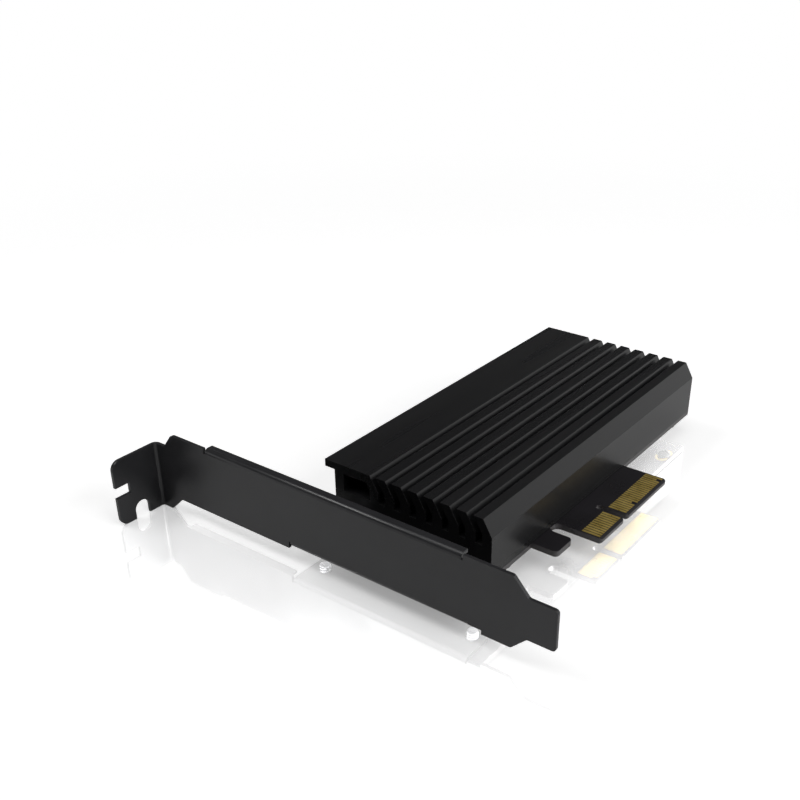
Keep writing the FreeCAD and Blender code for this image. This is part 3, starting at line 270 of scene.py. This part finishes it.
def screw(seat, shank, length, head, height, pitch, flipped=False, points=72):
    """A pan-head screw as a grid: head centre, dome, rim, underside, threaded shank, point.

    shank and head are radii, and the head's underside lies on the seat. The dome falls from its full height with the
    radius to the power 3.5. The cross is stamped into it: inside either bar it is deepest at the centre and rises
    towards the end of the arm. The thread's radius swings by a cosine of the height over the pitch less the turn,
    and fades out under the head and at the point, where the shank tapers.
    """
    half_bar, arm_end = 0.15, 0.58
    turn = np.linspace(0, 2 * np.pi, points, endpoint=False)
    reach = np.linspace(0.02, 1, 40)[:, None]
    across, along = reach * np.cos(turn), reach * np.sin(turn)
    wide, thin = np.maximum(abs(across), abs(along)), np.minimum(abs(across), abs(along))
    bar = np.clip((half_bar - thin) / 0.04, 0, 1) * np.clip((arm_end - wide) / 0.06, 0, 1)
    dome = height * (0.55 + 0.45 * (1 - reach ** 3.5)) - 0.6 * height * bar * (1 - 0.6 * wide / arm_end)
    top = np.stack([head * across, head * along, dome + 0 * across], axis=-1)
    rim = np.array([(1.0, 0.06), (0.985, 0.0)])[:, :, None]
    rim = np.stack([head * rim[:, 0] * np.cos(turn), head * rim[:, 0] * np.sin(turn),
                    height * rim[:, 1] + 0 * turn], axis=-1)
    drop = np.linspace(0, 1, max(int(length / pitch * 8), 8))[:, None]
    fade = np.clip((1 - drop) / 0.12, 0, 1) * np.clip(drop / 0.06, 0, 1)
    groove = 0.11 * shank * fade * (0.5 - 0.5 * np.cos(2 * np.pi * length * drop / pitch - turn))
    taper = 0.22 * shank * np.clip((drop - 0.88) / 0.12, 0, 1)
    radius = shank - groove - taper
    body = np.stack([radius * np.cos(turn), radius * np.sin(turn), -length * drop + 0 * turn], axis=-1)
    grid = np.concatenate([top, rim, body])
    if flipped:
        grid = grid * (1, -1, -1)
    return grid + np.array(seat, float)


flange_screws = [screw((7.3, across, 0), shank=1.5, length=4.0, head=2.8, height=2.0, pitch=0.7)
                 for across in (-25.0, 19.1)]
foot_screws = [screw((along, across, -1.62), shank=1.0, length=3.5, head=1.9, height=1.3, pitch=0.45, flipped=True)
               for along in (23.9, 111.8) for across in (20.6, -22.0)]
clamp_screw = screw((18.8, 0, 2.3), shank=1.0, length=3.0, head=2.25, height=0.75, pitch=0.4)
shells("bracket_screw_pair", flange_screws, "zinc_screw", ["bracket_screws"])
shells("heatsink_screw_set", foot_screws, "black_screw", ["heatsink_screws"])
shells("drive_clamp_screw", [clamp_screw], "zinc_screw", ["drive_screw"])


def thermal_pad(left, right, half, bottom, top, corner=0.8):
    """A knife-cut silicone slab as a grid: rings from its upper to its lower face, points round its outline.

    The outline is a rectangle with round corners. The sides swell towards mid-height by the inset of each ring, and
    a slow wave, the product of two sines of the length round the outline, runs along them where the soft slab was
    cut.
    """
    centres = np.array([(right, half), (left, half), (left, -half), (right, -half)], float)
    centres -= corner * np.array([(1, 1), (-1, 1), (-1, -1), (1, -1)])
    turn = np.linspace(0, np.pi / 2, 7) + np.arange(4)[:, None] * np.pi / 2
    arcs = centres[:, None] + corner * np.stack([np.cos(turn), np.sin(turn)], axis=-1)
    ends = arcs.reshape(-1, 2)
    step = np.linspace(0, 1, 12, endpoint=False)
    runs = [ends[7 * side + 6] + (ends[(7 * side + 7) % 28] - ends[7 * side + 6]) * step[1:, None] for side in range(4)]
    loop = np.concatenate([np.concatenate([arcs[side], runs[side]]) for side in range(4)])
    ahead = np.roll(loop, -1, axis=0) - np.roll(loop, 1, axis=0)
    out = np.stack([ahead[:, 1], -ahead[:, 0]], axis=-1)
    out /= np.linalg.norm(out, axis=1, keepdims=True)
    length = np.cumsum(np.linalg.norm(np.roll(loop, -1, axis=0) - loop, axis=1))
    wave = 0.5 + 0.5 * np.sin(length * 0.9) * np.sin(length * 0.37 + 1.3)
    level = np.array([0.0, 0.03, 0.14, 0.3, 0.5, 0.7, 0.86, 0.97, 1.0])
    inset = np.array([0.35, 0.2, 0.12, 0.05, 0.0, 0.05, 0.12, 0.2, 0.35])
    ring = loop - out * (inset[:, None, None] + 0.06 * wave[:, None])
    height = top + (bottom - top) * level
    return np.concatenate([ring, np.broadcast_to(height[:, None, None], ring.shape[:2] + (1,))], axis=-1)


lower_pad = thermal_pad(left=21.9, right=93.5, half=9.2, bottom=0.05, top=1.5)
upper_pad = thermal_pad(left=21.6, right=96.0, half=9.2, bottom=3.7, top=5.55)
shells("lower_pad_slab", [lower_pad], "thermal_pad_silicone", ["thermal_pad_lower"])
shells("upper_pad_slab", [upper_pad], "thermal_pad_silicone", ["thermal_pad_upper"])


def solder_fillet(root, out, side, width, foot, rise, rings=5, bend=7):
    """A concave solder fillet as a grid: rings across its width, points round its section.

    The section stands on the board and leans against the end: its free face is a quarter of a hollow curve, and it
    draws in towards both edges of the pad by a power of the cosine.
    """
    root, out, side = (np.array(vector, float) for vector in (root, out, side))
    turn = np.linspace(0, np.pi / 2, bend)
    away = foot * (1 - np.sin(turn)) ** 1.15
    up = rise * (1 - np.cos(turn)) ** 1.15
    away, up = np.append(away, 0.0), np.append(up, 0.0)
    place = np.linspace(-0.5, 0.5, rings)[:, None, None]
    swell = 0.55 + 0.45 * np.cos(np.pi * place) ** 0.6
    return (root + side * place * width + out * (away[:, None] * swell)
            + np.array((0, 0, 1.0)) * (up[:, None] * swell))


def fillet_pairs(starts, across, length, width, height, base):
    """The two end fillets of every chip in a row along X: each fillet is under half as long as the chip is high."""
    return [solder_fillet((along, across + sign * length / 2, base), (0, sign, 0), (1, 0, 0), width * 0.96,
                          0.42 * height, 0.62 * height) for along in starts for sign in (-1, 1)]


inner_row = fillet_pairs(85.0 + 2.44 * np.arange(5), across=-13.3, length=2.0, width=1.25, height=0.85, base=0.0)
outer_row = fillet_pairs(91.1 + 2.54 * np.arange(5), across=-18.45, length=2.0, width=1.25, height=0.85, base=0.0)
drive_row = fillet_pairs(40.8 + 2.6 * np.arange(8), across=-9.6, length=1.0, width=0.5, height=0.5, base=2.3)
shells("card_capacitor_solder", inner_row + outer_row, "tinned_terminal")
shells("drive_capacitor_solder", drive_row, "tinned_terminal")


def solder_bead(centre, along=0.32, across=0.15, height=0.13, rings=4, points=10):
    """A low solder bead as a grid: rings of an ellipse that close in as the square root of the height left."""
    turn = np.linspace(0, 2 * np.pi, points, endpoint=False)
    level = np.linspace(0, 0.96, rings)[:, None]
    spread = np.sqrt(1 - level)
    return np.stack([centre[0] + along * spread * np.cos(turn), centre[1] + across * spread * np.sin(turn),
                     centre[2] + height * level + 0 * turn], axis=-1)


# The socket's contacts stand 0.5 mm apart in two groups beside its key; the front feet sit half a pitch aside.
PITCH = 0.5
long_group = 9.25 - PITCH * np.arange(29)
short_group = -7.25 - PITCH * np.arange(5)
front_feet = np.concatenate([long_group, short_group[:4]]) - PITCH / 2
back_feet = np.concatenate([long_group, short_group])
shells("socket_solder_front", [solder_bead((93.45, across, 0)) for across in front_feet], "tinned_terminal")
shells("socket_solder_back", [solder_bead((103.75, across, 0)) for across in back_feet], "tinned_terminal")


# --- The studio: a pale polished table in a grey room, under broad soft lamps, in metres --------------------------

MIDDLE = (0.05, 0.0, 0.0)
TABLE_HEIGHT = cad_box[0][2]
TABLE_REACH = 6.0


def flat_sheet(name, corners, material):
    """One flat four-cornered face through the given corners."""
    mesh = bpy.data.meshes.new(name)
    mesh.from_pydata(corners, [], [(0, 1, 2, 3)])
    mesh.materials.append(material)
    made = bpy.data.objects.new(name, mesh)
    bpy.context.scene.collection.objects.link(made)
    return made


def white_lacquer(name, shadow_ends=0.16, white_starts=0.42):
    """White lacquer: pale, with a weak mirror image of what stands on it and its shadow kept near the part.

    Between the two distances from the part's middle it turns smoothly into an even white, as the paper of a studio
    does. That white is for the camera and for what mirrors it; other rays meet the paint.
    """
    made = bpy.data.materials.new(name)
    made.use_nodes = True
    tree = made.node_tree
    tree.nodes.clear()
    rays = add(tree, "LightPath")
    seen = add(tree, "Math", {0: rays.outputs["Is Camera Ray"], 1: rays.outputs["Is Glossy Ray"]}, operation="ADD")
    seen = add(tree, "Math", {0: seen.outputs[0], 1: rays.outputs["Is Transmission Ray"]}, operation="ADD",
               use_clamp=True)
    place = add(tree, "TexCoord").outputs["Object"]
    off = add(tree, "VectorMath", {0: place, 1: (MIDDLE[0], MIDDLE[1], TABLE_HEIGHT)},
              operation="DISTANCE").outputs["Value"]
    far = add(tree, "MapRange", {"Value": off, "From Min": shadow_ends, "From Max": white_starts},
              interpolation_type="SMOOTHSTEP")
    paint = add(tree, "BsdfPrincipled", {"Base Color": linear("#e6e6e6"), "Roughness": 0.05,
                                         "Specular IOR Level": 0.9})
    # To the camera the paint is a matt coat that takes the shadow, lifted to white where nothing shades it. The
    # mirror image is drawn stronger than one of bare lacquer, because the room that it shows is dark.
    matt = add(tree, "BsdfDiffuse", {"Color": (0.5, 0.5, 0.5, 1.0)})
    lift = add(tree, "Emission", {"Color": linear("#ffffff"), "Strength": 0.31})
    image = add(tree, "BsdfGlossy", {"Color": (4.2, 4.2, 4.2, 1.0), "Roughness": 0.07})
    near = add(tree, "AddShader", {0: matt.outputs["BSDF"], 1: lift.outputs["Emission"]})
    near = add(tree, "AddShader", {0: near.outputs["Shader"], 1: image.outputs["BSDF"]})
    near = add(tree, "MixShader", {0: rays.outputs["Is Camera Ray"], 1: paint.outputs["BSDF"],
                                   2: near.outputs["Shader"]})
    white = add(tree, "Emission", {"Color": linear("#ffffff"), "Strength": 1.0})
    shown = add(tree, "MixShader", {0: far.outputs["Result"], 1: near.outputs["Shader"], 2: white.outputs["Emission"]})
    both = add(tree, "MixShader", {0: seen.outputs[0], 1: paint.outputs["BSDF"], 2: shown.outputs["Shader"]})
    add(tree, "OutputMaterial", {"Surface": both.outputs["Shader"]})
    return made


table = flat_sheet("table_top", [(-TABLE_REACH, -TABLE_REACH, TABLE_HEIGHT), (TABLE_REACH, -TABLE_REACH, TABLE_HEIGHT),
                                 (TABLE_REACH, TABLE_REACH, TABLE_HEIGHT), (-TABLE_REACH, TABLE_REACH, TABLE_HEIGHT)],
                   white_lacquer("white_lacquer_table"))


def grey_room():
    """The room round the table: its strength falls smoothly with the height of the ray from its bright lower walls.

    Polished pieces see the white paper that stands behind the table, with a dark room over it, and the camera sees
    nothing but that white.
    """
    made = bpy.data.worlds.new("grey_room")
    made.use_nodes = True
    tree = made.node_tree
    tree.nodes.clear()
    height = add(tree, "SeparateXYZ", {"Vector": add(tree, "TexCoord").outputs["Generated"]}).outputs["Z"]
    glow = add(tree, "MapRange", {"Value": height, "From Min": 0.02, "From Max": 0.34, "To Min": 0.4,
                                  "To Max": 0.065}, interpolation_type="SMOOTHSTEP").outputs["Result"]
    paper = add(tree, "MapRange", {"Value": height, "From Min": 0.11, "From Max": 0.17, "To Min": 1.0,
                                   "To Max": 0.06}, interpolation_type="SMOOTHSTEP").outputs["Result"]
    rays = add(tree, "LightPath")
    mirrored = add(tree, "Math", {0: rays.outputs["Is Glossy Ray"], 1: rays.outputs["Is Transmission Ray"]},
                   operation="ADD", use_clamp=True)
    strength = add(tree, "Mix", {0: mirrored.outputs[0], 2: glow, 3: paper}, data_type="FLOAT").outputs[0]
    strength = add(tree, "Mix", {0: rays.outputs["Is Camera Ray"], 2: strength, 3: 1.0},
                   data_type="FLOAT").outputs[0]
    walls = add(tree, "Background", {"Color": linear("#ffffff"), "Strength": strength})
    add(tree, "OutputWorld", {"Surface": walls.outputs["Background"]})
    return made


bpy.context.scene.world = grey_room()


def axes_matrix(side, up, back, place):
    """The matrix that puts an object's own axes along three directions, at a place."""
    made = Matrix([[*row] for row in np.column_stack([side, up, back])]).to_4x4()
    made.translation = place
    return made


def softbox(name, place, width, height, power):
    """A square-on lamp of that size whose face looks from its place at the middle: its local z axis points away."""
    lamp = bpy.data.lights.new(name, "AREA")
    lamp.shape = "RECTANGLE"
    lamp.size = width
    lamp.size_y = height
    lamp.energy = power
    made = bpy.data.objects.new(name, lamp)
    away = np.array(place, float) - np.array(MIDDLE, float)
    away /= np.linalg.norm(away)
    side = np.cross((0, 0, 1), away)
    side /= np.linalg.norm(side)
    made.matrix_world = axes_matrix(side, np.cross(away, side), away, place)
    bpy.context.scene.collection.objects.link(made)
    return made


softbox("right_softbox", (0.1, -0.9, 0.6), 0.8, 0.5, 7.0)
softbox("right_card", (0.75, -0.62, 0.36), 0.9, 0.5, 1.6)
softbox("left_softbox", (-0.28, 0.5, 0.78), 0.45, 0.14, 3.0)
softbox("top_softbox", (-0.1, -0.1, 1.1), 0.7, 0.7, 5.0)


# --- The photograph's camera, fitted to the part's standard sizes -------------------------------------------------

FRAME_PIXELS = 800
FOCAL_PIXELS = 1048.06
CENTRE_PIXELS = (438.18, 467.85)
SENSOR_MM = 36.0
EYE = (-0.147867, -0.129103, 0.138067)

right = np.array((0.5909, -0.8067, 0.0))
forward = np.array((0.7018, 0.5140, -0.4933))
right /= np.linalg.norm(right)
forward /= np.linalg.norm(forward)
lens = bpy.data.cameras.new("photograph_camera")
lens.sensor_width = SENSOR_MM
lens.lens = FOCAL_PIXELS / FRAME_PIXELS * SENSOR_MM
lens.shift_x = (FRAME_PIXELS / 2 - CENTRE_PIXELS[0]) / FRAME_PIXELS
lens.shift_y = (CENTRE_PIXELS[1] - FRAME_PIXELS / 2) / FRAME_PIXELS
lens.clip_start = 0.005
lens.clip_end = 20.0
camera = bpy.data.objects.new("photograph_camera", lens)
camera.matrix_world = axes_matrix(right, np.cross(right, forward), -forward, EYE)
bpy.context.scene.collection.objects.link(camera)
bpy.context.scene.camera = camera
bpy.context.scene.view_settings.view_transform = "Standard"
